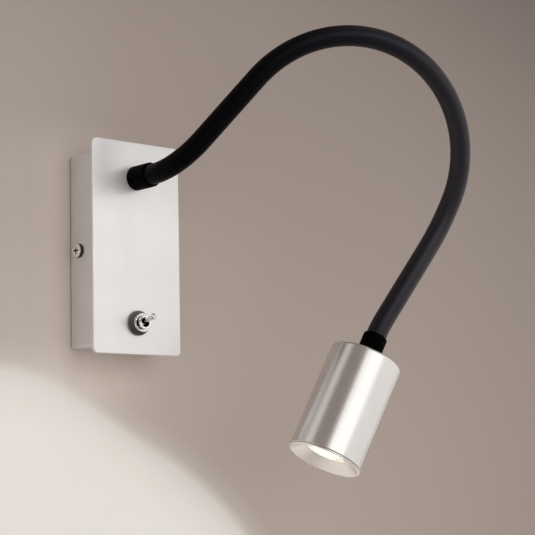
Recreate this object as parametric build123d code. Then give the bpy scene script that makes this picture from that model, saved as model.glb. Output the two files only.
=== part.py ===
from build123d import *
import math
import os
from collections import namedtuple

# Bedside wall reading lamp: a shallow box with an overhanging front plate, a gooseneck arm and an LED head.
# Millimetres. X to the right along the wall, +Y into the wall, +Z up. The wall face is Y = 0 and the
# origin is the midpoint of the two wall screws.

# ---- driving dimensions -------------------------------------------------------------------------
HOUSING_WIDTH = 56.0
HOUSING_HEIGHT = 109.5
HOUSING_DEPTH = 23.5
SHEET = 1.2
EDGE_ROUND = 2.0

PLATE_WIDTH = 60.0
PLATE_HEIGHT = 120.0
PLATE_THICKNESS = 1.5
PLATE_CORNER = 3.0
PLATE_RISE = 1.75
PLATE_EDGE_ROUND = 0.4

ARM_HEIGHT = 41.35
SWITCH_HEIGHT = -40.75
SIDE_SCREW_DEPTH = 8.0

SIDE_SCREW_RADIUS = 1.95
SIDE_SCREW_LENGTH = 6.0
SIDE_SCREW_HEAD_RADIUS = 4.0
SIDE_SCREW_HEAD_HEIGHT = 1.8
SCREW_CLEARANCE = 0.2

BRACKET_SHEET = 1.5
BRACKET_HEIGHT = 100.0
BRACKET_CORNER = 3.0
BRACKET_GAP = 0.2
FLANGE_REACH = 14.0
FLANGE_HEIGHT = 30.0
FLANGE_CORNER = 4.0
WALL_SLOT_SPACING = 60.0
WALL_SLOT_LENGTH = 10.0
WALL_SLOT_WIDTH = 4.5
CABLE_ENTRY_HEIGHT = -14.0
CABLE_ENTRY_RADIUS = 4.0
GROMMET_NECK_RADIUS = 6.0
GROMMET_FLANGE_RADIUS = 8.0
GROMMET_FLANGE_TOP = 3.0
GROMMET_TIP_RADIUS = 6.6
GROMMET_LENGTH = 4.0
EARTH_SCREW_SPOT = (-17.0, -34.0)
EARTH_SCREW_HEAD_RADIUS = 3.5
EARTH_SCREW_HEAD_HEIGHT = 2.4

SLEEVE_RADIUS = 5.8
SLEEVE_BORE = 4.3
HOSE_BORE = 2.6
SLIDE_FIT = 0.05
FERRULE_RADIUS = 6.9
FERRULE_LENGTH = 14.5
FERRULE_FLOOR = 3.5
FERRULE_CHAMFER = 0.6
STEM_LENGTH = 11.0
STEM_CHAMFER = 0.5
STEM_RADIUS = 5.0
STEM_BORE = 3.0
STEM_CLEARANCE = 0.1

JOINT_COUNT = 8
BALL_GAP = 0.3
RIM_CUTBACK = 3.0
HOSE_END_GAP = 6.3
LINK_LEAD_GAP = 1.0

HEAD_RADIUS = 20.7
LEAD_RADIUS = 2.1
LEAD_HOLE_RADIUS = 2.4
HEAD_WALL = 1.5
HEAD_ROUND = 1.5

LEVER_TILT = 13.0

BRACKET_HALF_WIDTH = HOUSING_WIDTH / 2 - SHEET - BRACKET_GAP
FRONT = -(HOUSING_DEPTH + PLATE_THICKNESS)
HOUSING_FRONT_INSIDE = -(HOUSING_DEPTH - SHEET)
HOUSING_FRONT_HEIGHT = FRONT - HOUSING_FRONT_INSIDE

BOTTOM = (Align.CENTER, Align.CENTER, Align.MIN)
TOP = (Align.CENTER, Align.CENTER, Align.MAX)


# ---- the arm's centreline -----------------------------------------------------------------------
# The gooseneck leaves the front plate square to it, climbs to the right, goes over a wide crown and
# comes down into the head. Each arc turns from the heading before it to its own heading.
def heading(azimuth, elevation):
    """Unit vector: azimuth in degrees from straight out of the wall towards +X, elevation above level."""
    a = math.radians(azimuth)
    e = math.radians(elevation)
    return Vector(math.cos(e) * math.sin(a), -math.cos(e) * math.cos(a), math.sin(e))


Run = namedtuple("Run", "length")
Bend = namedtuple("Bend", "radius to")
Span = namedtuple("Span", "start length origin tangent side radius")

ARM_ROUTE = [
    Run(16.0),
    Bend(36.5, heading(43, 47)),
    Run(45.0),
    Bend(70.5, heading(75, -25)),
    Bend(68.5, heading(-156, -65)),
    Bend(69.6, heading(-106.8, -54.7)),
    Run(48.9),
    Bend(99.6, heading(-100, -62)),
    Run(13.5),
]


def lay_out(route):
    """Turn the route into spans with a start station, a start point and, for a bend, its inward side."""
    spans = []
    station = 0.0
    origin = Vector(0, FRONT, ARM_HEIGHT)
    tangent = heading(0, 0)
    for leg in route:
        if isinstance(leg, Run):
            spans.append(Span(station, leg.length, origin, tangent, None, None))
            origin = origin + tangent * leg.length
            station += leg.length
            continue
        cosine = tangent.dot(leg.to)
        angle = math.acos(cosine)
        side = (leg.to - tangent * cosine).normalized()
        spans.append(Span(station, leg.radius * angle, origin, tangent, side, leg.radius))
        origin = origin + tangent * (leg.radius * math.sin(angle)) + side * (leg.radius * (1 - cosine))
        tangent = leg.to
        station += leg.radius * angle
    return spans


SPANS = lay_out(ARM_ROUTE)
ARM_LENGTH = SPANS[-1].start + SPANS[-1].length


def on_span(span, station):
    """Point and tangent at a station of one span."""
    along = station - span.start
    if span.side is None:
        return span.origin + span.tangent * along, span.tangent
    angle = along / span.radius
    sine = math.sin(angle)
    cosine = math.cos(angle)
    point = span.origin + span.tangent * (span.radius * sine) + span.side * (span.radius * (1 - cosine))
    return point, span.tangent * cosine + span.side * sine


def on_arm(station):
    """Point and tangent at a station of the whole arm."""
    for span in SPANS:
        if station <= span.start + span.length:
            return on_span(span, station)
    return on_span(SPANS[-1], station)


def centreline(first, last):
    """Edges of the arm's centreline between two stations."""
    edges = []
    for span in SPANS:
        low = max(first, span.start)
        high = min(last, span.start + span.length)
        if high - low < 1e-6:
            continue
        start = on_span(span, low)[0]
        end = on_span(span, high)[0]
        if span.side is None:
            edges.append(Line(start, end))
        else:
            edges.append(ThreePointArc(start, on_span(span, (low + high) / 2)[0], end))
    return edges


def rod(first, last, radius, lead_in=0.0):
    """Solid round rod along the arm's centreline, with a straight lead-in before its first station."""
    point, tangent = on_arm(first)
    start = point - tangent * lead_in
    edges = centreline(first, last)
    if lead_in > 0:
        edges.insert(0, Line(start, point))
    return sweep(Plane(origin=start, z_dir=tangent) * Circle(radius), path=Wire(edges))


# ---- the arm's joints: the continuous gooseneck is cut into links that hinge on ball-shaped ends ---
FLEX_LENGTH = ARM_LENGTH - 2 * FERRULE_LENGTH
LINK_PITCH = FLEX_LENGTH / JOINT_COUNT
JOINT_STATIONS = [FERRULE_LENGTH + LINK_PITCH * (i + 0.5) for i in range(JOINT_COUNT)]
CROWN_NORMAL = heading(43, 47).cross(heading(75, -25)).normalized()


def hinge_axis(index):
    """Even joints curl the arm in the plane of its crown, odd ones swing it sideways."""
    tangent = on_arm(JOINT_STATIONS[index])[1]
    curl = (CROWN_NORMAL - tangent * CROWN_NORMAL.dot(tangent)).normalized()
    if index % 2 == 0:
        return curl
    return tangent.cross(curl).normalized()


def link_limits(index):
    """Stations where link 0 to JOINT_COUNT starts and ends, ferrules included."""
    first = FERRULE_FLOOR if index == 0 else JOINT_STATIONS[index - 1]
    last = ARM_LENGTH - FERRULE_FLOOR if index == JOINT_COUNT else JOINT_STATIONS[index]
    return first, last


def arm_sleeve(index):
    """Black outer sleeve of one link: a ball at its near joint, a socket at its far joint."""
    first, last = link_limits(index)
    has_ball = index > 0
    has_socket = index < JOINT_COUNT
    sleeve = rod(first, last - RIM_CUTBACK if has_socket else last, SLEEVE_RADIUS)
    if has_ball:
        sleeve += Pos(on_arm(first)[0]) * Sphere(SLEEVE_RADIUS - BALL_GAP)
    sleeve -= rod(first, last, SLEEVE_BORE, SLEEVE_RADIUS if has_ball else 0.0)
    if has_socket:
        sleeve -= Pos(on_arm(last)[0]) * Sphere(SLEEVE_RADIUS)
    return sleeve


def arm_hose(index):
    """Steel gooseneck hose inside one link's sleeve, stopping short of the socket."""
    first, last = link_limits(index)
    start = first + LINK_LEAD_GAP if index > 0 else first
    end = last - HOSE_END_GAP if index < JOINT_COUNT else last
    hose = rod(start, end, SLEEVE_BORE - SLIDE_FIT)
    return hose - rod(start, end, HOSE_BORE)


# ---- frames that the round parts are made in ----------------------------------------------------
def facing_out(x, y, z):
    """Plane whose local Z points out of the wall and whose local Y points up."""
    return Plane(origin=(x, y, z), x_dir=(1, 0, 0), z_dir=(0, -1, 0))


ARM_SEAT = facing_out(0, FRONT, ARM_HEIGHT)
SWITCH_SEAT = facing_out(0, FRONT, SWITCH_HEIGHT)
HEAD_TOP, HEAD_DIRECTION = on_arm(ARM_LENGTH)
HEAD_SEAT = Plane(
    origin=HEAD_TOP,
    x_dir=Vector(0, 0, 1).cross(HEAD_DIRECTION * -1).normalized(),
    z_dir=HEAD_DIRECTION * -1,
)


def turned(*corners):
    """Solid of revolution about local Z from (radius, height) corners."""
    return revolve(Plane.XZ * make_face(Polyline(*corners, close=True)), Axis.Z)


def disc(radius, low, high):
    """Solid disc about local Z between two heights."""
    return Pos(0, 0, low) * Cylinder(radius, high - low, align=BOTTOM)


def ring(outer, inner, low, high):
    """Flat ring about local Z between two heights."""
    return disc(outer, low, high) - disc(inner, low - 1, high + 1)


def hex_nut(across_flats, bore, low, high):
    """Hexagon nut about local Z between two heights."""
    blank = extrude(RegularPolygon(across_flats / 2, 6, major_radius=False), high - low)
    return Pos(0, 0, low) * blank - disc(bore, low - 1, high + 1)


# ---- box, plate and wall bracket ----------------------------------------------------------------
def front_holes():
    """Cutters for the arm's stem and the switch's bushing through the box front and the plate."""
    deep = 2 * (PLATE_THICKNESS + SHEET)
    arm_hole = ARM_SEAT * disc(STEM_RADIUS + STEM_CLEARANCE, -deep, deep)
    switch_hole = SWITCH_SEAT * disc(BUSHING_RADIUS + STEM_CLEARANCE, -deep, deep)
    return arm_hole + switch_hole


def side_hole(radius):
    """Cutter for the side screws' holes, right through the box and both flanges."""
    return Pos(0, -SIDE_SCREW_DEPTH, 0) * Rot(0, 90, 0) * Cylinder(radius, HOUSING_WIDTH + SHEET)


def housing():
    """Open-backed folded sheet box with rounded outer edges."""
    block = Pos(0, -HOUSING_DEPTH / 2, 0) * Box(HOUSING_WIDTH, HOUSING_DEPTH, HOUSING_HEIGHT)
    block = fillet(block.edges().filter_by(Axis.Y), EDGE_ROUND)
    cavity_width = HOUSING_WIDTH - 2 * SHEET
    cavity_height = HOUSING_HEIGHT - 2 * SHEET
    cavity = Pos(0, HOUSING_FRONT_INSIDE / 2, 0) * Box(cavity_width, -HOUSING_FRONT_INSIDE, cavity_height)
    cavity = fillet(cavity.edges().filter_by(Axis.Y), EDGE_ROUND - SHEET)
    return block - cavity - front_holes() - side_hole(SIDE_SCREW_RADIUS + SCREW_CLEARANCE)


def front_plate():
    """Overhanging face plate with rounded corners and a softened front edge."""
    outline = RectangleRounded(PLATE_WIDTH, PLATE_HEIGHT, PLATE_CORNER)
    plate = facing_out(0, -HOUSING_DEPTH, PLATE_RISE) * extrude(outline, PLATE_THICKNESS)
    plate = fillet(plate.edges().group_by(Axis.Y)[0], PLATE_EDGE_ROUND)
    return plate - front_holes()


def wall_bracket():
    """Steel strap screwed to the wall, with slots, the cable's hole and the earth screw's hole."""
    strap = Pos(0, -BRACKET_SHEET / 2, 0) * Box(2 * BRACKET_HALF_WIDTH, BRACKET_SHEET, BRACKET_HEIGHT)
    strap = fillet(strap.edges().filter_by(Axis.Y), BRACKET_CORNER)
    through = 2 * BRACKET_SHEET
    for end in (-1, 1):
        slot = SlotOverall(WALL_SLOT_LENGTH, WALL_SLOT_WIDTH, rotation=90)
        strap -= facing_out(0, BRACKET_SHEET, end * WALL_SLOT_SPACING / 2) * extrude(slot, 2 * through)
    strap -= facing_out(0, 0, CABLE_ENTRY_HEIGHT) * disc(GROMMET_NECK_RADIUS, -through, through)
    earth_hole = disc(SIDE_SCREW_RADIUS + SLIDE_FIT, -through, through)
    return strap - facing_out(EARTH_SCREW_SPOT[0], 0, EARTH_SCREW_SPOT[1]) * earth_hole


def bracket_flanges():
    """Two flanges that stand on the strap's long edges and take the side screws."""
    reach = FLANGE_REACH - BRACKET_SHEET
    flanges = []
    for side in (-1, 1):
        centre = side * (BRACKET_HALF_WIDTH - BRACKET_SHEET / 2)
        flange = Pos(centre, -BRACKET_SHEET - reach / 2, 0) * Box(BRACKET_SHEET, reach, FLANGE_HEIGHT)
        flange = fillet(flange.edges().filter_by(Axis.X).group_by(Axis.Y)[0], FLANGE_CORNER)
        flanges.append(flange - side_hole(SIDE_SCREW_RADIUS + SLIDE_FIT))
    return Compound(children=flanges)


# Shares of a pan head's height or radius.
PAN_ROUND = 0.55
CROSS_DEPTH = 0.6
CROSS_SPAN = 1.1
CROSS_WIDTH = 0.26


def pan_screw(shank_radius, length, head_radius, head_height):
    """Pan-head screw with a cross recess: the head above local Z = 0, the shank below."""
    head = disc(head_radius, 0, head_height)
    head = fillet(head.edges().group_by(Axis.Z)[-1], head_height * PAN_ROUND)
    recess = (head_radius * CROSS_SPAN, head_radius * CROSS_WIDTH, head_height * CROSS_DEPTH)
    blade = Box(*recess, align=TOP)
    cross = Pos(0, 0, head_height) * (blade + Rot(0, 0, 90) * blade)
    return head + disc(shank_radius, -length, 0) - cross


def side_screws():
    """Two screws through the box's sides into the bracket's flanges."""
    screws = []
    for side in (-1, 1):
        seat = Plane(
            origin=(side * HOUSING_WIDTH / 2, -SIDE_SCREW_DEPTH, 0), x_dir=(0, 0, 1), z_dir=(side, 0, 0)
        )
        screw = pan_screw(
            SIDE_SCREW_RADIUS, SIDE_SCREW_LENGTH, SIDE_SCREW_HEAD_RADIUS, SIDE_SCREW_HEAD_HEIGHT
        )
        screws.append(seat * screw)
    return Compound(children=screws)


def cable_grommet():
    """Rubber bush that lines the supply cable's hole in the bracket."""
    bush = turned(
        (CABLE_ENTRY_RADIUS, 0),
        (GROMMET_NECK_RADIUS, 0),
        (GROMMET_NECK_RADIUS, BRACKET_SHEET),
        (GROMMET_FLANGE_RADIUS, BRACKET_SHEET),
        (GROMMET_FLANGE_RADIUS, GROMMET_FLANGE_TOP),
        (GROMMET_TIP_RADIUS, GROMMET_LENGTH),
        (CABLE_ENTRY_RADIUS, GROMMET_LENGTH),
    )
    return facing_out(0, 0, CABLE_ENTRY_HEIGHT) * bush


def earth_screw():
    """Earthing screw in the bracket, its shank flush with the wall face."""
    seat = facing_out(EARTH_SCREW_SPOT[0], -BRACKET_SHEET, EARTH_SCREW_SPOT[1])
    return seat * pan_screw(
        SIDE_SCREW_RADIUS, BRACKET_SHEET, EARTH_SCREW_HEAD_RADIUS, EARTH_SCREW_HEAD_HEIGHT
    )


# ---- electrical parts inside the box ------------------------------------------------------------
DRIVER_SIZE = (42.0, 15.0, 26.0)
DRIVER_CENTRE = 11.0
DRIVER_CORNER = 2.0
DRIVER_CHAMFER = 0.8
TERMINAL_SIZE = (24.0, 8.0, 14.0)
TERMINAL_CENTRE = -15.0
TERMINAL_POLES = 3
TERMINAL_DEPTH = HOUSING_FRONT_INSIDE + TERMINAL_SIZE[1] / 2
TERMINAL_CHAMFER = 0.8
TERMINAL_WIRE_RADIUS = 1.6
TERMINAL_WELL_RADIUS = 2.0
TERMINAL_SCREW_RADIUS = 1.9
TERMINAL_SCREW_LENGTH = 3.2
TERMINAL_SCREW_SINK = 0.6
TERMINAL_SCREW_SLOT = 0.6


def led_driver():
    """Potted constant-current driver stuck to the inside of the box front."""
    width, depth, height = DRIVER_SIZE
    case = Pos(0, HOUSING_FRONT_INSIDE + depth / 2, DRIVER_CENTRE) * Box(width, depth, height)
    case = fillet(case.edges().filter_by(Axis.Z), DRIVER_CORNER)
    return chamfer(case.edges().group_by(Axis.Y)[-1], DRIVER_CHAMFER)


def terminal_block():
    """Three-pole terminal block for the supply, with wire holes below and screw wells facing the wall."""
    width, depth, height = TERMINAL_SIZE
    block = Pos(0, TERMINAL_DEPTH, TERMINAL_CENTRE) * Box(width, depth, height)
    block = chamfer(block.edges().filter_by(Axis.Z), TERMINAL_CHAMFER)
    for spot in terminal_spots():
        block -= Pos(spot, TERMINAL_DEPTH, TERMINAL_CENTRE) * Cylinder(TERMINAL_WIRE_RADIUS, 2 * height)
        well = disc(TERMINAL_WELL_RADIUS, -depth, depth / 2)
        block -= facing_out(spot, TERMINAL_DEPTH + depth / 2, TERMINAL_CENTRE) * well
    return block


def terminal_spots():
    """Distances of the poles from the block's middle."""
    pitch = TERMINAL_SIZE[0] / TERMINAL_POLES
    return [pitch * (i - (TERMINAL_POLES - 1) / 2) for i in range(TERMINAL_POLES)]


def terminal_screws():
    """Clamping screws in the terminal block's wells."""
    screws = []
    for spot in terminal_spots():
        top = TERMINAL_DEPTH + TERMINAL_SIZE[1] / 2 - TERMINAL_SCREW_SINK
        seat = Plane(origin=(spot, top, TERMINAL_CENTRE), x_dir=(1, 0, 0), z_dir=(0, 1, 0))
        slot = Box(3 * TERMINAL_SCREW_RADIUS, TERMINAL_SCREW_SLOT, 2 * TERMINAL_SCREW_SLOT)
        screws.append(seat * (disc(TERMINAL_SCREW_RADIUS, -TERMINAL_SCREW_LENGTH, 0) - slot))
    return Compound(children=screws)


# ---- toggle switch ------------------------------------------------------------------------------
BUSHING_RADIUS = 3.9
BUSHING_REACH = 7.3
BUSHING_CHAMFER = 0.3
BUSHING_BORE = 2.8
COLLAR_RADIUS = 7.0
COLLAR_HEIGHT = 3.5
COLLAR_FOOT_RADIUS = 6.2
COLLAR_FOOT_HEIGHT = 1.0
COLLAR_DRAFT = 0.35
DRESS_NUT_RADIUS = 5.4
DRESS_NUT_TOP = 5.1
DRESS_NUT_CHAMFER = 0.3
GROOVE_RADIUS = 3.3
GROOVE_TOP = 5.9
LEVER_PIVOT_HEIGHT = 3.4
LEVER_BALL = 2.4
LEVER_TAIL_RADIUS = 0.9
LEVER_TAIL_LENGTH = 3.0
LEVER_NECK_RADIUS = 1.25
LEVER_TIP_RADIUS = 1.7
LEVER_TIP_ROUND = 1.0
LEVER_REACH = 12.7
SWITCH_WIDTH = 9.0
SWITCH_LENGTH = 14.0
SWITCH_CHAMFER = 0.6
SWITCH_DEPTH = 11.0
SWITCH_BACK = HOUSING_FRONT_INSIDE + SWITCH_DEPTH
LUG_WIDTH = 2.2
LUG_THICKNESS = 0.8
LUG_LENGTH = 4.5
LUG_SPACING = 4.7
LUG_EYE_RADIUS = 0.55
LUG_EYE_REACH = 2.8


def switch_body():
    """Moulded switch block clamped behind the box front."""
    block = Pos(0, 0, HOUSING_FRONT_HEIGHT) * Box(SWITCH_WIDTH, SWITCH_LENGTH, SWITCH_DEPTH, align=TOP)
    return SWITCH_SEAT * chamfer(block.edges().filter_by(Axis.Z), SWITCH_CHAMFER)


def switch_terminals():
    """Three solder lugs standing out of the back of the switch block."""
    lugs = []
    back = HOUSING_FRONT_HEIGHT - SWITCH_DEPTH
    for spot in (-LUG_SPACING, 0.0, LUG_SPACING):
        lug = Pos(0, spot, back) * Box(LUG_WIDTH, LUG_THICKNESS, LUG_LENGTH, align=TOP)
        eye = Pos(0, spot, back - LUG_EYE_REACH) * Rot(90, 0, 0) * Cylinder(LUG_EYE_RADIUS, LUG_WIDTH)
        lugs.append(SWITCH_SEAT * (lug - eye))
    return Compound(children=lugs)


def switch_bushing():
    """Threaded bushing that carries the lever, with a turned groove below its bright end ring."""
    bushing = turned(
        (BUSHING_BORE, HOUSING_FRONT_HEIGHT),
        (BUSHING_RADIUS, HOUSING_FRONT_HEIGHT),
        (BUSHING_RADIUS, DRESS_NUT_TOP),
        (GROOVE_RADIUS, DRESS_NUT_TOP),
        (GROOVE_RADIUS, GROOVE_TOP),
        (BUSHING_RADIUS, GROOVE_TOP),
        (BUSHING_RADIUS, BUSHING_REACH - BUSHING_CHAMFER),
        (BUSHING_RADIUS - BUSHING_CHAMFER, BUSHING_REACH),
        (BUSHING_BORE, BUSHING_REACH),
    )
    return SWITCH_SEAT * bushing


def switch_collar():
    """Domed collar with a narrower foot that seats on the front plate round the switch."""
    bore = BUSHING_RADIUS + STEM_CLEARANCE
    edge = (COLLAR_RADIUS, COLLAR_FOOT_HEIGHT)
    shoulder = (COLLAR_RADIUS - COLLAR_DRAFT, (COLLAR_FOOT_HEIGHT + COLLAR_HEIGHT) / 2)
    dome_edge = (DRESS_NUT_RADIUS + DRESS_NUT_CHAMFER, COLLAR_HEIGHT)
    profile = Plane.XZ * make_face(
        [
            Line((bore, 0), (COLLAR_FOOT_RADIUS, 0)),
            Line((COLLAR_FOOT_RADIUS, 0), edge),
            ThreePointArc(edge, shoulder, dome_edge),
            Line(dome_edge, (bore, COLLAR_HEIGHT)),
            Line((bore, COLLAR_HEIGHT), (bore, 0)),
        ]
    )
    return SWITCH_SEAT * revolve(profile, Axis.Z)


def switch_nut():
    """Round dress nut that clamps the collar."""
    nut = ring(DRESS_NUT_RADIUS, BUSHING_RADIUS + SLIDE_FIT, COLLAR_HEIGHT, DRESS_NUT_TOP)
    outer_edge = nut.edges().filter_by(GeomType.CIRCLE).sort_by(Edge.length)[-2:]
    return SWITCH_SEAT * chamfer(outer_edge, DRESS_NUT_CHAMFER)


def switch_lever():
    """Bat lever on a ball, tilted up at rest."""
    shaft = turned(
        (0, -LEVER_TAIL_LENGTH),
        (LEVER_TAIL_RADIUS, -LEVER_TAIL_LENGTH),
        (LEVER_TAIL_RADIUS, 0),
        (LEVER_NECK_RADIUS, 0),
        (LEVER_NECK_RADIUS, 2 * LEVER_BALL),
        (LEVER_TIP_RADIUS, LEVER_REACH - LEVER_TIP_ROUND),
        (LEVER_TIP_RADIUS * 0.8, LEVER_REACH - LEVER_TIP_ROUND / 4),
        (0, LEVER_REACH),
    )
    lever = shaft + Sphere(LEVER_BALL)
    return SWITCH_SEAT * Pos(0, 0, LEVER_PIVOT_HEIGHT) * Rot(-LEVER_TILT, 0, 0) * lever


# ---- arm ends -----------------------------------------------------------------------------------
WASHER_RADIUS = 9.0
WASHER_THICKNESS = 0.8
LOCK_NUT_FLATS = 14.0
LOCK_NUT_HEIGHT = 4.5


def ferrule():
    """Fat end cup of the arm: local Z = 0 is the seat, the cup above it, the threaded stem below."""
    return turned(
        (STEM_BORE, -STEM_LENGTH),
        (STEM_RADIUS - STEM_CHAMFER, -STEM_LENGTH),
        (STEM_RADIUS, STEM_CHAMFER - STEM_LENGTH),
        (STEM_RADIUS, 0),
        (FERRULE_RADIUS, 0),
        (FERRULE_RADIUS, FERRULE_LENGTH - FERRULE_CHAMFER),
        (FERRULE_RADIUS - FERRULE_CHAMFER, FERRULE_LENGTH),
        (SLEEVE_RADIUS + SLIDE_FIT, FERRULE_LENGTH),
        (SLEEVE_RADIUS + SLIDE_FIT, FERRULE_FLOOR),
        (STEM_BORE, FERRULE_FLOOR),
    )


def lock_washer(inside):
    """Washer on the stem against the inside of a wall at one height."""
    return ring(WASHER_RADIUS, STEM_RADIUS + STEM_CLEARANCE, inside - WASHER_THICKNESS, inside)


def lock_nut(inside):
    """Nut on the stem against the washer."""
    top = inside - WASHER_THICKNESS
    return hex_nut(LOCK_NUT_FLATS, STEM_RADIUS + SLIDE_FIT, top - LOCK_NUT_HEIGHT, top)


# ---- head, in its own frame: Z = 0 is the outside of its closed top, the mouth is below ----------
HEAD_BORE = HEAD_RADIUS - HEAD_WALL
HEAD_ROOF = 2.5
HEAD_LIP_CHAMFER = 0.25
SHELL_LENGTH = 62.1
SINK_TOP = -14.0
SINK_FLOOR = -42.0
SINK_BASE = 4.0
SINK_HUB = 6.5
SINK_FINS = 12
FIN_THICKNESS = 1.4
FIN_GAP = 1.0
BOARD_RADIUS = 13.5
BOARD_THICKNESS = 1.6
BOARD_SCREW_SPOT = 10.7
BOARD_SCREW_RADIUS = 1.2
BOARD_SCREW_LENGTH = 4.6
BOARD_SCREW_HEAD_RADIUS = 2.1
BOARD_SCREW_HEAD_HEIGHT = 1.3
EMITTER_SIZE = 9.0
EMITTER_BASE = 0.7
EMITTER_HEIGHT = 1.2
PHOSPHOR_RADIUS = 3.8
GASKET_THICKNESS = 0.35
GASKET_INSET = 0.45
BEZEL_RIM = 0.75
BEZEL_INSET = 0.15
BEZEL_RIM_CHAMFER = 0.3
BEZEL_RIM_WIDTH = 0.95
BEZEL_LENGTH = 6.0
BEZEL_WALL = 0.9
BEZEL_FIT = 0.12
CUP_MOUTH_RADIUS = 11.5
CUP_MOUTH_DEPTH = 5.0
CUP_THROAT_RADIUS = 6.6
CUP_LEDGE = 0.3
CUP_BELLY = 1.5
CUP_FLANGE = 3.0
CUP_WALL = 0.9
MOUTH_FLOOR = -SHELL_LENGTH - GASKET_THICKNESS - BEZEL_RIM


def head_shell():
    """Turned cylindrical can with a closed top and an open mouth."""
    can = turned(
        (STEM_RADIUS + STEM_CLEARANCE, 0),
        (HEAD_RADIUS, 0),
        (HEAD_RADIUS, -SHELL_LENGTH),
        (HEAD_BORE, -SHELL_LENGTH),
        (HEAD_BORE, -HEAD_ROOF),
        (STEM_RADIUS + STEM_CLEARANCE, -HEAD_ROOF),
    )
    top_edge = can.edges().group_by(Axis.Z)[-1].sort_by(Edge.length)[-1]
    can = fillet(top_edge, HEAD_ROUND)
    lip = can.edges().group_by(Axis.Z)[0].sort_by(Edge.length)[-1]
    return chamfer(lip, HEAD_LIP_CHAMFER)


def heat_sink():
    """Finned aluminium slug pressed into the head, with a bore for the lead."""
    height = SINK_TOP - SINK_FLOOR
    sink = disc(HEAD_BORE, SINK_FLOOR, SINK_FLOOR + SINK_BASE)
    sink += disc(SINK_HUB, SINK_FLOOR, SINK_TOP)
    fin = Pos(HEAD_BORE / 2, 0, SINK_FLOOR) * Box(HEAD_BORE - FIN_GAP, FIN_THICKNESS, height, align=BOTTOM)
    for i in range(SINK_FINS):
        sink += Rot(0, 0, 360 / SINK_FINS * i) * fin
    sink -= board_screw_holes(SINK_FLOOR + SINK_BASE)
    return sink - disc(LEAD_HOLE_RADIUS, SINK_FLOOR - 1, SINK_TOP + 1)


def board_screw_holes(top):
    """Cutters for the board's two screws, from below the board up to a height."""
    radius = BOARD_SCREW_RADIUS + SLIDE_FIT
    hole = disc(radius, SINK_FLOOR - 2 * BOARD_THICKNESS, top)
    return Pos(BOARD_SCREW_SPOT, 0, 0) * hole + Pos(-BOARD_SCREW_SPOT, 0, 0) * hole


def led_board():
    """Round metal-core board screwed under the heat sink."""
    return disc(BOARD_RADIUS, SINK_FLOOR - BOARD_THICKNESS, SINK_FLOOR) - board_screw_holes(SINK_TOP)


def led_board_screws():
    """Two screws that hold the board to the heat sink."""
    floor = SINK_FLOOR - BOARD_THICKNESS
    screw = pan_screw(
        BOARD_SCREW_RADIUS, BOARD_SCREW_LENGTH, BOARD_SCREW_HEAD_RADIUS, BOARD_SCREW_HEAD_HEIGHT
    )
    screws = []
    for side in (-1, 1):
        seat = Plane(origin=(side * BOARD_SCREW_SPOT, 0, floor), z_dir=(0, 0, -1))
        screws.append(HEAD_SEAT * (seat * screw))
    return Compound(children=screws)


def led_emitter():
    """Chip-on-board emitter with a shallow phosphor disc."""
    floor = SINK_FLOOR - BOARD_THICKNESS
    base = Pos(0, 0, floor) * Box(EMITTER_SIZE, EMITTER_SIZE, EMITTER_BASE, align=TOP)
    return base + disc(PHOSPHOR_RADIUS, floor - EMITTER_HEIGHT, floor - EMITTER_BASE)


def mouth_gasket():
    """Thin black ring that shows as a dark line between the can and the bezel."""
    outer = HEAD_RADIUS - GASKET_INSET
    return ring(outer, HEAD_BORE - SLIDE_FIT, -SHELL_LENGTH - GASKET_THICKNESS, -SHELL_LENGTH)


def bezel():
    """Pale conical ring that closes the mouth: a rim over the gasket, a spigot up the bore."""
    rim = HEAD_RADIUS - BEZEL_INSET
    rim_top = MOUTH_FLOOR + BEZEL_RIM
    spigot = HEAD_BORE - BEZEL_FIT
    cup_top = MOUTH_FLOOR + CUP_MOUTH_DEPTH
    return turned(
        (rim - BEZEL_RIM_CHAMFER, MOUTH_FLOOR),
        (rim, MOUTH_FLOOR + BEZEL_RIM_CHAMFER),
        (rim, rim_top),
        (spigot, rim_top),
        (spigot, rim_top + BEZEL_LENGTH),
        (spigot - BEZEL_WALL, rim_top + BEZEL_LENGTH),
        (spigot - BEZEL_WALL, rim_top + 1.5 * BEZEL_WALL),
        (CUP_MOUTH_RADIUS + BEZEL_WALL / 2, cup_top + BEZEL_WALL),
        (CUP_MOUTH_RADIUS, cup_top + BEZEL_WALL),
        (CUP_MOUTH_RADIUS, cup_top),
        (rim - BEZEL_RIM_WIDTH, MOUTH_FLOOR),
    )


def reflector():
    """Bowl that gathers the emitter's light, flanged behind the bezel's inner edge."""
    mouth = MOUTH_FLOOR + CUP_MOUTH_DEPTH + BEZEL_WALL
    throat = SINK_FLOOR - BOARD_THICKNESS
    middle = (throat + mouth) / 2
    inner = CUP_MOUTH_RADIUS - CUP_LEDGE
    belly = inner - CUP_BELLY
    flange = CUP_MOUTH_RADIUS + CUP_FLANGE
    profile = Plane.XZ * make_face(
        [
            ThreePointArc((CUP_THROAT_RADIUS, throat), (belly, middle), (inner, mouth)),
            Line((inner, mouth), (flange, mouth)),
            Line((flange, mouth), (flange, mouth + CUP_WALL)),
            Line((flange, mouth + CUP_WALL), (inner + CUP_WALL, mouth + CUP_WALL)),
            ThreePointArc(
                (inner + CUP_WALL, mouth + CUP_WALL),
                (belly + CUP_WALL, middle),
                (CUP_THROAT_RADIUS + CUP_WALL, throat),
            ),
            Line((CUP_THROAT_RADIUS + CUP_WALL, throat), (CUP_THROAT_RADIUS, throat)),
        ]
    )
    return revolve(profile, Axis.Z)


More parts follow.
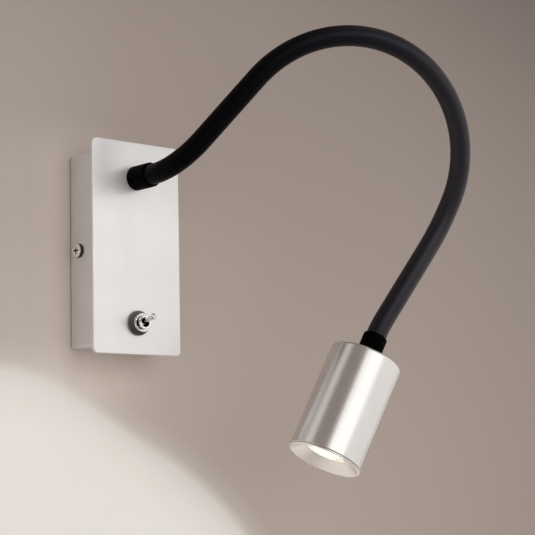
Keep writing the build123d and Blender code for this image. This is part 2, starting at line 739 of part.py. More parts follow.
# ---- leads --------------------------------------------------------------------------------------
WIRE_RADIUS = 0.8
SOLDER_DEPTH = SWITCH_BACK + LUG_LENGTH / 2 + 1.0
SWITCHED_LEAD_SIDE = 16.0
SWITCHED_LEAD_DEPTH = HOUSING_FRONT_INSIDE + 7.3
SWITCHED_LEAD_TURN = -28.0
SWITCHED_LEAD_BENDS = (5.0, 8.0)
LIVE_LEAD_BENDS = (3.0, 3.0, 2.2)
LIVE_LEAD_DROP = 5.5
LIVE_LEAD_SLANT = 4.0
POLE_INSERTION = 2.0
LAMP_LEAD_DEPTH = -9.5
LAMP_LEAD_BEND = 4.5
DRIVER_FLOOR = DRIVER_CENTRE - DRIVER_SIZE[2] / 2
DRIVER_TOP = DRIVER_CENTRE + DRIVER_SIZE[2] / 2


def swept_lead(radius, edges, start, toward):
    """Round lead swept along edges that begin at start and head toward a direction."""
    return sweep(Plane(origin=start, z_dir=toward) * Circle(radius), path=Wire(edges))


def wire(corners, radii):
    """Single wire along straight runs joined by tangent arcs."""
    start = Vector(*corners[0])
    toward = (Vector(*corners[1]) - start).normalized()
    edges = FilletPolyline(*corners, radius=radii).edges()
    return swept_lead(WIRE_RADIUS, edges, start, toward)


def arm_lead(index):
    """Two-core lamp lead through one link: it starts at the driver and ends at the LED board."""
    first, last = link_limits(index)
    if index == 0:
        start = Vector(0, LAMP_LEAD_DEPTH, DRIVER_TOP)
        corner = Vector(0, LAMP_LEAD_DEPTH, ARM_HEIGHT)
        box_run = FilletPolyline(start, corner, on_arm(0)[0], radius=LAMP_LEAD_BEND).edges()
        edges = list(box_run) + centreline(0, last - HOSE_END_GAP)
        return swept_lead(LEAD_RADIUS, edges, start, Vector(0, 0, 1))
    first += LINK_LEAD_GAP
    if index < JOINT_COUNT:
        return rod(first, last - HOSE_END_GAP, LEAD_RADIUS)
    start, toward = on_arm(first)
    board = HEAD_TOP - HEAD_DIRECTION * SINK_FLOOR
    edges = centreline(first, ARM_LENGTH) + [Line(HEAD_TOP, board)]
    return swept_lead(LEAD_RADIUS, edges, start, toward)


def live_lead():
    """Wire from the terminal block's left pole down to the switch's upper lug."""
    spot = terminal_spots()[0]
    lug_height = SWITCH_HEIGHT + LUG_SPACING
    below = TERMINAL_CENTRE - TERMINAL_SIZE[2] / 2
    corners = [
        (spot, TERMINAL_DEPTH, below + POLE_INSERTION),
        (spot, TERMINAL_DEPTH, below - LIVE_LEAD_DROP),
        (spot, SOLDER_DEPTH, below - LIVE_LEAD_DROP - LIVE_LEAD_SLANT),
        (spot, SOLDER_DEPTH, lug_height),
        (-LUG_WIDTH / 2, SOLDER_DEPTH, lug_height),
    ]
    return wire(corners, LIVE_LEAD_BENDS)


def switched_lead():
    """Wire from the switch's middle lug up past the terminal block to the driver."""
    corners = [
        (LUG_WIDTH / 2, SOLDER_DEPTH, SWITCH_HEIGHT),
        (SWITCHED_LEAD_SIDE, SOLDER_DEPTH, SWITCH_HEIGHT),
        (SWITCHED_LEAD_SIDE, SWITCHED_LEAD_DEPTH, SWITCHED_LEAD_TURN),
        (SWITCHED_LEAD_SIDE, SWITCHED_LEAD_DEPTH, DRIVER_FLOOR),
    ]
    return wire(corners, SWITCHED_LEAD_BENDS)


def neutral_lead():
    """Short straight wire from the terminal block's right pole up to the driver."""
    low = TERMINAL_CENTRE + TERMINAL_SIZE[2] / 2 - POLE_INSERTION
    lead = Cylinder(WIRE_RADIUS, DRIVER_FLOOR - low, align=BOTTOM)
    return Pos(terminal_spots()[-1], TERMINAL_DEPTH, low) * lead


# ---- the whole lamp -----------------------------------------------------------------------------
def nodes():
    """Every node's name and solid."""
    parts = {
        "wall_bracket": wall_bracket(),
        "bracket_flanges": bracket_flanges(),
        "housing": housing(),
        "front_plate": front_plate(),
        "side_screws": side_screws(),
        "cable_grommet": cable_grommet(),
        "earth_screw": earth_screw(),
        "led_driver": led_driver(),
        "terminal_block": terminal_block(),
        "terminal_screws": terminal_screws(),
        "switch_body": switch_body(),
        "switch_terminals": switch_terminals(),
        "switch_bushing": switch_bushing(),
        "switch_collar": switch_collar(),
        "switch_nut": switch_nut(),
        "switch_lever": switch_lever(),
        "arm_base_ferrule": ARM_SEAT * ferrule(),
        "arm_lock_washer": ARM_SEAT * lock_washer(HOUSING_FRONT_HEIGHT),
        "arm_lock_nut": ARM_SEAT * lock_nut(HOUSING_FRONT_HEIGHT),
        "arm_head_ferrule": HEAD_SEAT * ferrule(),
        "head_lock_washer": HEAD_SEAT * lock_washer(-HEAD_ROOF),
        "head_lock_nut": HEAD_SEAT * lock_nut(-HEAD_ROOF),
        "head_shell": HEAD_SEAT * head_shell(),
        "heat_sink": HEAD_SEAT * heat_sink(),
        "led_board": HEAD_SEAT * led_board(),
        "led_board_screws": led_board_screws(),
        "led_emitter": HEAD_SEAT * led_emitter(),
        "reflector": HEAD_SEAT * reflector(),
        "mouth_gasket": HEAD_SEAT * mouth_gasket(),
        "bezel": HEAD_SEAT * bezel(),
        "live_lead": live_lead(),
        "switched_lead": switched_lead(),
        "neutral_lead": neutral_lead(),
    }
    for index in range(JOINT_COUNT + 1):
        parts[f"arm_sleeve_{index + 1}"] = arm_sleeve(index)
        parts[f"arm_hose_{index + 1}"] = arm_hose(index)
        parts[f"arm_lead_{index + 1}"] = arm_lead(index)
    return parts


def main():
    """Write one STEP file per node."""
    os.makedirs("parts", exist_ok=True)
    for name, solid in nodes().items():
        export_step(solid, f"parts/{name}.step")


if __name__ == "__main__":
    main()
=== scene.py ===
import math
from collections import namedtuple

import bpy
from mathutils import Matrix, Vector


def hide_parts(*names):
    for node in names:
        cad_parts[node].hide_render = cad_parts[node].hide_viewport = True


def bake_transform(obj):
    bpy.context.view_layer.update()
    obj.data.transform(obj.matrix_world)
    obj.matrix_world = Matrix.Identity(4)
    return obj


# Bedside wall reading lamp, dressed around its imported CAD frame. Metres. The wall face is Y = 0, +Z is up,
# and the face plate looks along -Y.

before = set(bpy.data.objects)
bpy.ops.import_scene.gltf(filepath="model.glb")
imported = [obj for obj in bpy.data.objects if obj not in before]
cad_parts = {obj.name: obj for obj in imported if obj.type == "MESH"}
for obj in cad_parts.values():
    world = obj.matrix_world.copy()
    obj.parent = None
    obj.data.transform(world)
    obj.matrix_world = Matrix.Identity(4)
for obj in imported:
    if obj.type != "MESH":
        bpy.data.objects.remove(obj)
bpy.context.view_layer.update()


# ---- camera: solved from the face plate's corners in the photograph --------------------------------
FRAME_SIZE = 535.0
FOCAL_PIXELS = 1629.41
PRINCIPAL_X = 261.59
PRINCIPAL_Y = 284.34
SENSOR = 36.0
CLIP_START = 0.01
CLIP_END = 20.0
CAMERA_PLACE = (-0.54006, -0.75544, -0.12981)
CAMERA_TURN = (
    (0.75761638, -0.06379086, -0.64957535),
    (-0.65241185, -0.1035858, -0.75075213),
    (-0.01939566, 0.99257277, -0.12009621),
)


def make_camera():
    data = bpy.data.cameras.new("camera")
    data.sensor_width = SENSOR
    data.lens = FOCAL_PIXELS / FRAME_SIZE * SENSOR
    data.shift_x = (FRAME_SIZE / 2 - PRINCIPAL_X) / FRAME_SIZE
    data.shift_y = (PRINCIPAL_Y - FRAME_SIZE / 2) / FRAME_SIZE
    data.clip_start = CLIP_START
    data.clip_end = CLIP_END
    camera = bpy.data.objects.new("camera", data)
    bpy.context.scene.collection.objects.link(camera)
    camera.matrix_world = Matrix.Translation(CAMERA_PLACE) @ Matrix(CAMERA_TURN).to_4x4()
    bpy.context.scene.camera = camera


# ---- colours and shader nodes ----------------------------------------------------------------------
def linear(red, green, blue):
    """Linear colour from 0-255 display values."""
    parts = []
    for value in (red, green, blue):
        share = value / 255
        parts.append(share / 12.92 if share <= 0.04045 else ((share + 0.055) / 1.055) ** 2.4)
    return (*parts, 1.0)


def shaded(colour, factor):
    return (*(part * factor for part in colour[:3]), 1.0)


def shader_of(material):
    return material.node_tree.nodes["Principled BSDF"]


def new_material(name, **settings):
    """Principled material whose settings go straight on the shader's sockets."""
    material = bpy.data.materials.new(name)
    material.use_nodes = True
    for socket, value in settings.items():
        shader_of(material).inputs[socket.replace("_", " ")].default_value = value
    return material


def drive(material, socket, value):
    """Link a value to one of the shader's sockets."""
    material.node_tree.links.new(value, shader_of(material).inputs[socket])


def feed(material, socket, value):
    """Give a node's socket a linked value or a plain one."""
    if isinstance(value, bpy.types.NodeSocket):
        material.node_tree.links.new(value, socket)
    else:
        socket.default_value = value


def operate(material, kind, operation, values):
    node = material.node_tree.nodes.new(kind)
    node.operation = operation
    for socket, value in zip(node.inputs, values):
        feed(material, socket, value)
    return node.outputs[0]


def maths(material, operation, *values):
    return operate(material, "ShaderNodeMath", operation, values)


def vector_maths(material, operation, *values):
    return operate(material, "ShaderNodeVectorMath", operation, values)


def mixed(material, factor, first, second):
    """Blend of two colours."""
    blend = material.node_tree.nodes.new("ShaderNodeMix")
    blend.data_type = "RGBA"
    feed(material, blend.inputs["Factor"], factor)
    colours = [socket for socket in blend.inputs if socket.type == "RGBA"]
    for socket, value in zip(colours, (first, second)):
        feed(material, socket, value)
    return [socket for socket in blend.outputs if socket.type == "RGBA"][0]


def ramp(material, value, stops):
    """Colour read from a ramp of (position, colour) stops."""
    node = material.node_tree.nodes.new("ShaderNodeValToRGB")
    for _ in stops[2:]:
        node.color_ramp.elements.new(1.0)
    for element, (position, colour) in zip(node.color_ramp.elements, stops):
        element.position = position
        element.color = colour
    feed(material, node.inputs["Fac"], value)
    return node.outputs["Color"]


def steps(material, value, stops):
    """Value read from a ramp of (position, share) stops."""
    return ramp(material, value, [(position, (share, share, share, 1.0)) for position, share in stops])


def remapped(material, value, first, last, low, high, interpolation="LINEAR"):
    """Value that goes from low to high while the given one goes from first to last."""
    node = material.node_tree.nodes.new("ShaderNodeMapRange")
    node.interpolation_type = interpolation
    for socket, number in zip(("From Min", "From Max", "To Min", "To Max"), (first, last, low, high)):
        node.inputs[socket].default_value = number
    feed(material, node.inputs["Value"], value)
    return node.outputs["Result"]


def own_axes(material):
    """X, Y and Z in the object's own coordinates."""
    place = material.node_tree.nodes.new("ShaderNodeTexCoord")
    split = material.node_tree.nodes.new("ShaderNodeSeparateXYZ")
    feed(material, split.inputs["Vector"], place.outputs["Object"])
    return split.outputs


def along(material, axis, first, last, low, high):
    """Value that eases from low to high between two places on one of the object's own axes."""
    return remapped(material, own_axes(material)[axis], first, last, low, high, "SMOOTHSTEP")


# ---- materials -------------------------------------------------------------------------------------
# Noise values between which a colour and a roughness go from their lowest to their highest.
TONE_RANGE = (0.35, 0.65)
ROUGHNESS_RANGE = (0.3, 0.7)
# Share by which a plain material's roughness varies.
ROUGHNESS_SPREAD = 0.12
CLOUD_SCALE = 40.0
GRAIN_SCALE = 900.0
GRAIN_RELIEF = 0.000004


def pattern(material, scale, stretch=(1, 1, 1), turn=(0, 0, 0), detail=3.0, roughness=0.5):
    """Noise in the object's own coordinates, in features per metre, with its stretch along turned axes."""
    nodes = material.node_tree.nodes
    place = nodes.new("ShaderNodeTexCoord")
    aligned = nodes.new("ShaderNodeMapping")
    aligned.inputs["Rotation"].default_value = turn
    stretched = nodes.new("ShaderNodeMapping")
    stretched.inputs["Scale"].default_value = stretch
    noise = nodes.new("ShaderNodeTexNoise")
    noise.inputs["Scale"].default_value = scale
    noise.inputs["Detail"].default_value = detail
    noise.inputs["Roughness"].default_value = roughness
    feed(material, aligned.inputs["Vector"], place.outputs["Object"])
    feed(material, stretched.inputs["Vector"], aligned.outputs["Vector"])
    feed(material, noise.inputs["Vector"], stretched.outputs["Vector"])
    return noise.outputs["Fac"]


def vary_colour(material, noise, colour, spread):
    """Base colour that is darker and lighter than a colour by a share."""
    stops = ((TONE_RANGE[0], shaded(colour, 1 - spread)), (TONE_RANGE[1], shaded(colour, 1 + spread)))
    drive(material, "Base Color", ramp(material, noise, stops))


def vary_roughness(material, noise, low, high):
    drive(material, "Roughness", remapped(material, noise, *ROUGHNESS_RANGE, low, high))


def add_bump(material, noise, relief):
    """Surface relief of a height in metres."""
    bump = material.node_tree.nodes.new("ShaderNodeBump")
    bump.inputs["Distance"].default_value = relief
    feed(material, bump.inputs["Height"], noise)
    drive(material, "Normal", bump.outputs["Normal"])


def shade_by(material, share):
    """Multiply the base colour by a value or a colour."""
    tone = shader_of(material).inputs["Base Color"].links[0].from_socket
    drive(material, "Base Color", vector_maths(material, "MULTIPLY", tone, share))


def satin_nickel(name, colour, low, high, stretch, spread=0.03, turn=(0, 0, 0)):
    """Satin metal: broad cloudy tone, fine drawn grain along one direction."""
    material = new_material(name, Metallic=1.0)
    cloud = pattern(material, CLOUD_SCALE)
    grain = pattern(material, GRAIN_SCALE, stretch, turn, detail=4.0, roughness=0.65)
    vary_colour(material, cloud, colour, spread)
    vary_roughness(material, grain, low, high)
    add_bump(material, grain, GRAIN_RELIEF)
    return material


def plain(name, colour, roughness, metallic=0.0, scale=600.0, spread=0.08, relief=0.000005, **settings):
    """Material with a fine mottle in colour, roughness and relief."""
    material = new_material(name, Metallic=metallic, **settings)
    mottle = pattern(material, scale)
    vary_colour(material, mottle, colour, spread)
    vary_roughness(material, mottle, roughness * (1 - ROUGHNESS_SPREAD), roughness * (1 + ROUGHNESS_SPREAD))
    add_bump(material, mottle, relief)
    return material


def dress(material, *names):
    for name in names:
        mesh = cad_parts[name].data
        mesh.materials.clear()
        mesh.materials.append(material)


# ---- the arm's centreline: the same route as in the part's source ----------------------------------
PLATE_FRONT = -0.025
ARM_HEIGHT = 0.04135
SLEEVE_RADIUS = 0.0058
SLEEVE_BORE = 0.0050
FERRULE_LENGTH = 0.0145
FERRULE_FLOOR = 0.0035
JOINT_COUNT = 8
# Facets around a sleeve piece, and the distance between its rings.
SIDES = 64
STEP = 0.0015

# A leg of the route is a straight run, or an arc that ends in a heading. A span is a leg laid out in space.
Run = namedtuple("Run", "length")
Bend = namedtuple("Bend", "radius to")
Span = namedtuple("Span", "start length origin tangent side radius")


def heading(azimuth, elevation):
    """Direction at an azimuth, counted from -Y toward +X, and an elevation, both in degrees."""
    a = math.radians(azimuth)
    e = math.radians(elevation)
    return Vector((math.cos(e) * math.sin(a), -math.cos(e) * math.cos(a), math.sin(e)))


ARM_ROUTE = [
    Run(0.016),
    Bend(0.0365, heading(43, 47)),
    Run(0.045),
    Bend(0.0705, heading(75, -25)),
    Bend(0.0685, heading(-156, -65)),
    Bend(0.0696, heading(-106.8, -54.7)),
    Run(0.0489),
    Bend(0.0996, heading(-100, -62)),
    Run(0.0135),
]


def lay_out(route):
    spans = []
    station = 0.0
    origin = Vector((0, PLATE_FRONT, ARM_HEIGHT))
    tangent = heading(0, 0)
    for leg in route:
        if isinstance(leg, Run):
            spans.append(Span(station, leg.length, origin, tangent, None, None))
            origin = origin + tangent * leg.length
            station += leg.length
            continue
        cosine = tangent.dot(leg.to)
        angle = math.acos(cosine)
        side = (leg.to - tangent * cosine).normalized()
        spans.append(Span(station, leg.radius * angle, origin, tangent, side, leg.radius))
        origin = origin + tangent * (leg.radius * math.sin(angle)) + side * (leg.radius * (1 - cosine))
        tangent = leg.to
        station += leg.radius * angle
    return spans


SPANS = lay_out(ARM_ROUTE)
ARM_LENGTH = SPANS[-1].start + SPANS[-1].length
LINK_PITCH = (ARM_LENGTH - 2 * FERRULE_LENGTH) / JOINT_COUNT


def on_arm(station):
    """Point and tangent at a station, which is a length along the centreline from the plate."""
    span = [s for s in SPANS if s.start <= station + 1e-9][-1]
    covered = station - span.start
    if span.side is None:
        return span.origin + span.tangent * covered, span.tangent
    angle = covered / span.radius
    sine = math.sin(angle)
    cosine = math.cos(angle)
    point = span.origin + span.tangent * (span.radius * sine) + span.side * (span.radius * (1 - cosine))
    return point, span.tangent * cosine + span.side * sine


def tube(name, first, last, outer, inner):
    """Closed tube along the arm between two stations, with a sharp edge around each end."""
    count = max(2, round((last - first) / STEP))
    verts = []
    across = None
    for i in range(count + 1):
        point, tangent = on_arm(first + (last - first) * i / count)
        if across is None:
            across = tangent.orthogonal()
        across = (across - tangent * across.dot(tangent)).normalized()
        up = tangent.cross(across)
        for radius in (outer, inner):
            for k in range(SIDES):
                angle = 2 * math.pi * k / SIDES
                verts.append(point + (across * math.cos(angle) + up * math.sin(angle)) * radius)
    faces = []
    ring = 2 * SIDES
    for i in range(count):
        for k in range(SIDES):
            n = (k + 1) % SIDES
            a = i * ring
            b = a + ring
            faces.append((a + k, a + n, b + n, b + k))
            faces.append((a + SIDES + n, a + SIDES + k, b + SIDES + k, b + SIDES + n))
    end = count * ring
    for k in range(SIDES):
        n = (k + 1) % SIDES
        faces.append((n, k, SIDES + k, SIDES + n))
        faces.append((end + k, end + n, end + SIDES + n, end + SIDES + k))
    mesh = bpy.data.meshes.new(name)
    mesh.from_pydata(verts, [], faces)
    mesh.shade_smooth()
    for edge in mesh.edges:
        rows = {v // ring for v in edge.vertices}
        edge.use_edge_sharp = len(rows) == 1 and rows.pop() in (0, count)
    mesh.update()
    piece = bpy.data.objects.new(name, mesh)
    bpy.context.scene.collection.objects.link(piece)
    return piece


def make_arm(material):
    """One smooth sleeve piece over each joint, from mid-link to mid-link, laid along the arm's centreline."""
    for i in range(JOINT_COUNT):
        low = FERRULE_LENGTH + LINK_PITCH * i
        high = low + LINK_PITCH
        first = FERRULE_FLOOR if i == 0 else low
        last = ARM_LENGTH - FERRULE_FLOOR if i == JOINT_COUNT - 1 else high
        piece = tube(f"sleeve_{i + 1}", first, last, SLEEVE_RADIUS, SLEEVE_BORE)
        piece.data.materials.append(material)
        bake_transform(piece)
        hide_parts(f"arm_sleeve_{i + 1}")
        if i == JOINT_COUNT - 1:
            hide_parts(f"arm_sleeve_{i + 2}")


# ---- stage and light -------------------------------------------------------------------------------
# Rows for along() give an axis, two places on it and the values there.
WALL_REACH = 3.0
WALL_GAP = 0.0002
FLOOR_HEIGHT = -0.9
ROOM_COLOUR = linear(150, 141, 132)
FLOOR_COLOUR = linear(214, 208, 200)
# Painted light: the wall's colour is a little paler and cooler on the left than on the right.
WALL_RIGHT = linear(203, 190, 184)
WALL_LEFT_PAINTED_LIGHT = linear(203, 193, 188)
PAINTED_LIGHT_LEFTWARD = ("X", 0.02, -0.05, 0.0, 1.0)
# Painted shade over the wall: its brightness from factors of 1, x, z, xz, xx and zz, and the least and greatest
# result.
WALL_SHADE = (1.0, -0.657, -1.069, 0.7, -0.28, -2.228)
SHADE_LIMITS = (0.3, 2.0)
# Painted light left of and below the wall box, where the box's shadow falls: stops of x from the start in units
# of the width, with their shares, and how it fades above and below.
PAINTED_FILL_START = -0.08
PAINTED_FILL_WIDTH = 0.125
PAINTED_FILL_BY_BOX = (
    (0.0, 0.06),
    (0.2, 0.14),
    (0.352, 0.37),
    (0.432, 0.32),
    (0.52, 0.38),
    (0.696, 0.26),
    (0.856, 0.1),
    (1.0, 0.0),
)
PAINTED_FILL_FADES = (("Z", 0.085, 0.04, 0.0, 1.0), ("Z", -0.095, -0.066, 0.3, 1.0))
# Painted pool of lamplight, which also glows: stops of the distance from its centre, with their shares. It
# reaches further on the left.
LIGHT_POOL_COLOUR = linear(240, 232, 224)
LIGHT_POOL_CENTRE = (-0.06, -0.30)
LIGHT_POOL_EDGE = ((0.18, 1.0), (0.198, 0.86), (0.2075, 0.68), (0.2135, 0.2), (0.226, 0.05), (0.29, 0.0))
LIGHT_POOL_WIDENING = ("X", 0.03, -0.075, 0.0, 0.025)
LIGHT_POOL_GLOW = (0.85, 0.97, 1.0, 1.0)
LIGHT_POOL_STRENGTH = 0.24
# Painted reflection: there the wall turns as pale as the painted pool, and glows like it, for glossy rays only.
# Where the wall is as pale as the pool in reflections: outside the picture's left, right and lower edges.
PALE_IN_REFLECTIONS = (
    ("X", -0.08, -0.105, 0.0, 1.0),
    ("X", 0.42, 0.5, 0.0, 1.0),
    ("Z", -0.178, -0.2, 0.0, 1.0),
)
# A ray this short starts on something that lies on the wall.
TOUCHING = 0.001
# Lamps: azimuth, elevation and distance from the target, then width, height and radiance.
LAMP_TARGET = (0.06, -0.07, 0.0)
LAMPS = {
    "front_light": (-7.5, 15, 1.4, 1.13, 1.1, 1.2),
    "right_light": (51, 3, 1.4, 2.2, 1.9, 0.68),
    "upper_light": (30, 62, 1.5, 0.8, 0.8, 0.3),
    "low_light": (-20, -52, 1.4, 0.9, 0.9, 1.2),
    "left_light": (-62, -20, 1.4, 0.8, 0.8, 0.5),
}


def panel(name, corners, material):
    """Flat stage panel."""
    mesh = bpy.data.meshes.new(name)
    mesh.from_pydata(corners, [], [(0, 1, 2, 3)])
    mesh.materials.append(material)
    piece = bpy.data.objects.new(name, mesh)
    bpy.context.scene.collection.objects.link(piece)


def painted_wall_shade(material, x, z):
    """Painted shade: plaster that darkens toward the upper right, with painted light that brightens it beside
    the wall box.
    """
    # Painted shade: brightness that falls off toward the upper right.
    terms = [x, z] + [maths(material, "MULTIPLY", *pair) for pair in ((x, z), (x, x), (z, z))]
    shade = WALL_SHADE[0]
    for factor, term in zip(WALL_SHADE[1:], terms):
        shade = maths(material, "MULTIPLY_ADD", term, factor, shade)
    shade = maths(material, "MAXIMUM", shade, SHADE_LIMITS[0])
    shade = maths(material, "MINIMUM", shade, SHADE_LIMITS[1])
    # Painted light beside the box, which thins the box's shadow on the wall.
    painted_fill = maths(material, "MULTIPLY_ADD", x, 1 / PAINTED_FILL_WIDTH, -PAINTED_FILL_START / PAINTED_FILL_WIDTH)
    painted_fill = steps(material, painted_fill, PAINTED_FILL_BY_BOX)
    for fade in PAINTED_FILL_FADES:
        painted_fill = maths(material, "MULTIPLY", painted_fill, along(material, *fade))
    shade = maths(material, "MULTIPLY", shade, maths(material, "ADD", painted_fill, 1.0))
    # Painted light: the wall's colour turns paler and cooler toward the left.
    base = mixed(material, along(material, *PAINTED_LIGHT_LEFTWARD), WALL_RIGHT, WALL_LEFT_PAINTED_LIGHT)
    return vector_maths(material, "MULTIPLY", base, shade)


def light_pool_share(material, x, z):
    """Share of the painted pool of lamplight low on the left."""
    off_x = maths(material, "SUBTRACT", x, LIGHT_POOL_CENTRE[0])
    off_z = maths(material, "SUBTRACT", z, LIGHT_POOL_CENTRE[1])
    square = maths(material, "MULTIPLY_ADD", off_x, off_x, maths(material, "MULTIPLY", off_z, off_z))
    reach = maths(material, "SQRT", square)
    reach = maths(material, "SUBTRACT", reach, along(material, *LIGHT_POOL_WIDENING))
    return steps(material, reach, LIGHT_POOL_EDGE)


def wall_paint():
    """Plaster with painted shade, a painted pool of lamplight that glows, and painted pale ends that only
    reflections show.
    """
    material = new_material("wall_paint", Roughness=0.85, Specular_IOR_Level=0.1, Emission_Color=LIGHT_POOL_GLOW)
    place = own_axes(material)
    path = material.node_tree.nodes.new("ShaderNodeLightPath").outputs
    share = light_pool_share(material, place["X"], place["Z"])
    # Painted reflection: pale ends that only glossy rays see.
    for row in PALE_IN_REFLECTIONS:
        mirrored = maths(material, "MULTIPLY", path["Is Glossy Ray"], along(material, *row))
        share = maths(material, "MAXIMUM", share, mirrored)
    tone = painted_wall_shade(material, place["X"], place["Z"])
    drive(material, "Base Color", mixed(material, share, tone, LIGHT_POOL_COLOUR))
    # Painted glow: the pool, and the pale ends in reflections, give off light to camera and glossy rays.
    seen = maths(material, "MAXIMUM", path["Is Camera Ray"], path["Is Glossy Ray"])
    glow = maths(material, "MULTIPLY", seen, share)
    drive(material, "Emission Strength", maths(material, "MULTIPLY", glow, LIGHT_POOL_STRENGTH))
    return material


def clear_from_behind(material):
    """Let a panel pass shadow rays, rays that meet its back, and rays from a back that lies on it."""
    nodes = material.node_tree.nodes
    path = nodes.new("ShaderNodeLightPath").outputs
    back = nodes.new("ShaderNodeNewGeometry").outputs["Backfacing"]
    clear = maths(material, "MAXIMUM", back, path["Is Shadow Ray"])
    clear = maths(material, "MAXIMUM", clear, maths(material, "LESS_THAN", path["Ray Length"], TOUCHING))
    mix = nodes.new("ShaderNodeMixShader")
    feed(material, mix.inputs["Fac"], clear)
    feed(material, mix.inputs[1], shader_of(material).outputs["BSDF"])
    feed(material, mix.inputs[2], nodes.new("ShaderNodeBsdfTransparent").outputs["BSDF"])
    feed(material, nodes["Material Output"].inputs["Surface"], mix.outputs["Shader"])


def softbox(name, azimuth, elevation, distance, width, height, radiance):
    """Rectangular lamp seen from the object at an azimuth and elevation, facing it."""
    back = heading(azimuth, elevation)
    data = bpy.data.lights.new(name, "AREA")
    data.shape = "RECTANGLE"
    data.size = width
    data.size_y = height
    data.energy = radiance * math.pi * width * height
    lamp = bpy.data.objects.new(name, data)
    lamp.location = Vector(LAMP_TARGET) + back * distance
    lamp.rotation_mode = "QUATERNION"
    lamp.rotation_quaternion = (-back).to_track_quat("-Z", "Y")
    lamp.visible_camera = False
    bpy.context.scene.collection.objects.link(lamp)


def make_stage():
    far = WALL_REACH
    low = FLOOR_HEIGHT
    paint = wall_paint()
    clear_from_behind(paint)
    panel("wall", [(x, WALL_GAP, z) for x, z in ((-far, -far), (far, -far), (far, far), (-far, far))], paint)
    board = plain("floor_board", FLOOR_COLOUR, 0.85, scale=120.0, spread=0.01, relief=0.00001)
    panel("floor", [(x, y, low) for x, y in ((-far, -far), (far, -far), (far, 0), (-far, 0))], board)
    world = bpy.data.worlds.new("room")
    world.use_nodes = True
    world.node_tree.nodes["Background"].inputs["Color"].default_value = ROOM_COLOUR
    world.node_tree.nodes["Background"].inputs["Strength"].default_value = 1.0
    bpy.context.scene.world = world
    bpy.context.scene.view_settings.view_transform = "Standard"
    for name, row in LAMPS.items():
        softbox(name, *row)


# ---- the lamp --------------------------------------------------------------------------------------
# Along Y, where the front plate's look gives way to the box's painted shade, and the painted shade along the
# box's rear edge, where it meets the wall.
PLATE_TO_BOX = ("Y", -0.0235, -0.0225)
REAR_EDGE_SHADE = ("Y", -0.0013, -0.0004, 1.0, 0.5)
# Painted shade: shares by which the box's sides are darker than the plate. The plate's metallic value, which is
# 1 on the box.
SIDE_PAINTED_SHADE = (0.89, 0.91, 0.91)
PLATE_METAL = 0.45
# Painted shade on the switch's bushing: stops of the eased height over the plate in units of the rise, with
# their shares.
BUSHING_RISE = 0.01
BUSHING_SHADE_STEPS = ((0.5, 0.03), (0.62, 0.05), (0.68, 1.0), (1.0, 1.0))
# Painted shade on a side screw's head: stops of the height over the box's side in units of the rise, with their
# shares.
SCREW_SEAT = 0.028
SCREW_RISE = 0.002
SCREW_SHADE_STEPS = ((0.2, 0.03), (0.62, 0.1), (0.7, 1.0), (1.0, 1.0))
# Painted shade: the collar is darker at its foot, and the arm darker near the plate. Painted sheen on the arm is
# weaker near the plate, which makes it duller there.
COLLAR_SHADE = ("Z", -0.046, -0.034, 0.35, 1.0)
ARM_SHADE = ("X", 0.0, 0.06, 0.3, 1.0)
ARM_PAINTED_SHEEN = ("X", 0.02, 0.15, 0.06, 0.5)
ARM_TINT = (0.88, 0.86, 1.0, 1.0)
LED_COLOUR = (1.0, 0.99, 0.97, 1.0)
LED_GLOW = 10.0
POLISHED = {"scale": 300.0, "spread": 0.02, "relief": 0.000002}


def set_off_plate(material):
    """Painted shade on the folded box behind the plate, which is darker than the plate in front and darker still
    along its rear edge. The plate is also flatter, being less metallic.
    """
    behind = along(material, *PLATE_TO_BOX, 0.0, 1.0)
    change = [share - 1 for share in SIDE_PAINTED_SHADE]
    shade_by(material, vector_maths(material, "MULTIPLY_ADD", behind, change, (1, 1, 1)))
    shade_by(material, along(material, *REAR_EDGE_SHADE))
    drive(material, "Metallic", along(material, *PLATE_TO_BOX, PLATE_METAL, 1.0))


def shade_bushing(material):
    """Painted shade: dark thread below a bright rim."""
    height = along(material, "Y", PLATE_FRONT, PLATE_FRONT - BUSHING_RISE, 0.0, 1.0)
    shade_by(material, steps(material, height, BUSHING_SHADE_STEPS))


def shade_recess(material):
    """Painted shade: dark rim and cross on the side screws' heads, bright crown between them."""
    height = maths(material, "SUBTRACT", maths(material, "ABSOLUTE", own_axes(material)["X"]), SCREW_SEAT)
    height = maths(material, "MULTIPLY", height, 1 / SCREW_RISE)
    shade_by(material, steps(material, height, SCREW_SHADE_STEPS))


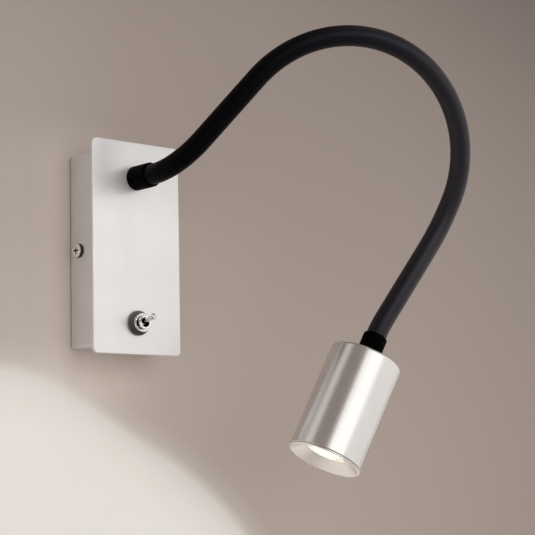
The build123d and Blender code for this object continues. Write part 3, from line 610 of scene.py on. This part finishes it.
def dress_frame():
    box = satin_nickel("satin_nickel", linear(251, 252, 255), 0.28, 0.34, (1, 1, 0.02))
    # Painted shade on the box's sides and along its rear edge.
    set_off_plate(box)
    dress(box, "housing", "front_plate")
    upright = on_arm(ARM_LENGTH)[1].rotation_difference(Vector((0, 0, -1))).to_euler()
    head = satin_nickel("satin_nickel_head", linear(221, 220, 219), 0.22, 0.29, (1, 1, 0.03), turn=upright)
    dress(head, "head_shell")
    chrome = plain("chrome", linear(228, 228, 230), 0.1, 1.0, **POLISHED)
    dress(chrome, "switch_nut", "switch_lever")
    bushing = plain("bushing_chrome", linear(250, 250, 250), 0.12, 1.0, **POLISHED)
    # Painted shade on the bushing's thread.
    shade_bushing(bushing)
    dress(bushing, "switch_bushing")
    screw = plain("screw_chrome", linear(255, 253, 247), 0.2, 0.85, **POLISHED)
    # Painted shade in the screw heads' rim and cross.
    shade_recess(screw)
    dress(screw, "side_screws")
    collar = plain("dark_collar", linear(112, 110, 110), 0.42, 0.35, relief=0.00001)
    # Painted shade toward the collar's foot.
    shade_by(collar, along(collar, *COLLAR_SHADE))
    dress(collar, "switch_collar")
    zinc = plain("zinc_steel", linear(190, 192, 194), 0.38, 1.0)
    dress(zinc, "wall_bracket", "bracket_flanges", "terminal_screws", "led_board_screws")
    dress(zinc, "arm_lock_washer", "arm_lock_nut", "head_lock_washer", "head_lock_nut")
    sleeve = plain("arm_black", linear(7, 7, 14), 0.42, scale=1500.0, relief=0.00001, Specular_Tint=ARM_TINT)
    # Painted shade near the plate, and painted sheen that grows away from it.
    shade_by(sleeve, along(sleeve, *ARM_SHADE))
    drive(sleeve, "Specular IOR Level", along(sleeve, *ARM_PAINTED_SHEEN))
    ferrule = plain("black_ferrule", linear(2, 2, 2), 0.6, Specular_IOR_Level=0.02)
    dress(ferrule, "arm_base_ferrule", "arm_head_ferrule")
    hose = plain("hose_steel", linear(170, 172, 175), 0.35, 1.0)
    dress(hose, *[f"arm_hose_{i + 1}" for i in range(JOINT_COUNT + 1)])
    dress(hose, *[f"arm_sleeve_{i + 1}" for i in range(JOINT_COUNT + 1)])
    dress(plain("bezel_nickel", linear(246, 240, 238), 0.3, 0.9, spread=0.02, relief=0.000001), "bezel")
    dress(plain("reflector_white", linear(244, 243, 240), 0.2, relief=0.000002), "reflector")
    glow = {"Emission_Color": LED_COLOUR, "Emission_Strength": LED_GLOW}
    dress(plain("phosphor", linear(240, 222, 150), 0.5, **glow), "led_emitter")
    dress(plain("board_white", linear(236, 236, 234), 0.5), "led_board")
    dress(plain("heat_sink_aluminium", linear(200, 201, 203), 0.42, 1.0), "heat_sink")
    dress(plain("driver_case", linear(232, 232, 228), 0.5), "led_driver")
    dress(plain("terminal_plastic", linear(226, 224, 214), 0.45), "terminal_block")
    dress(plain("switch_plastic", linear(38, 60, 150), 0.4), "switch_body")
    dress(plain("brass", linear(214, 184, 112), 0.3, 1.0), "switch_terminals", "earth_screw")
    dress(plain("grommet_rubber", linear(30, 30, 31), 0.6), "cable_grommet", "mouth_gasket")
    lead = plain("lead_insulation", linear(150, 150, 152), 0.5)
    dress(lead, "live_lead", "switched_lead", "neutral_lead")
    dress(lead, *[f"arm_lead_{i + 1}" for i in range(JOINT_COUNT + 1)])
    make_arm(sleeve)


make_camera()
make_stage()
dress_frame()
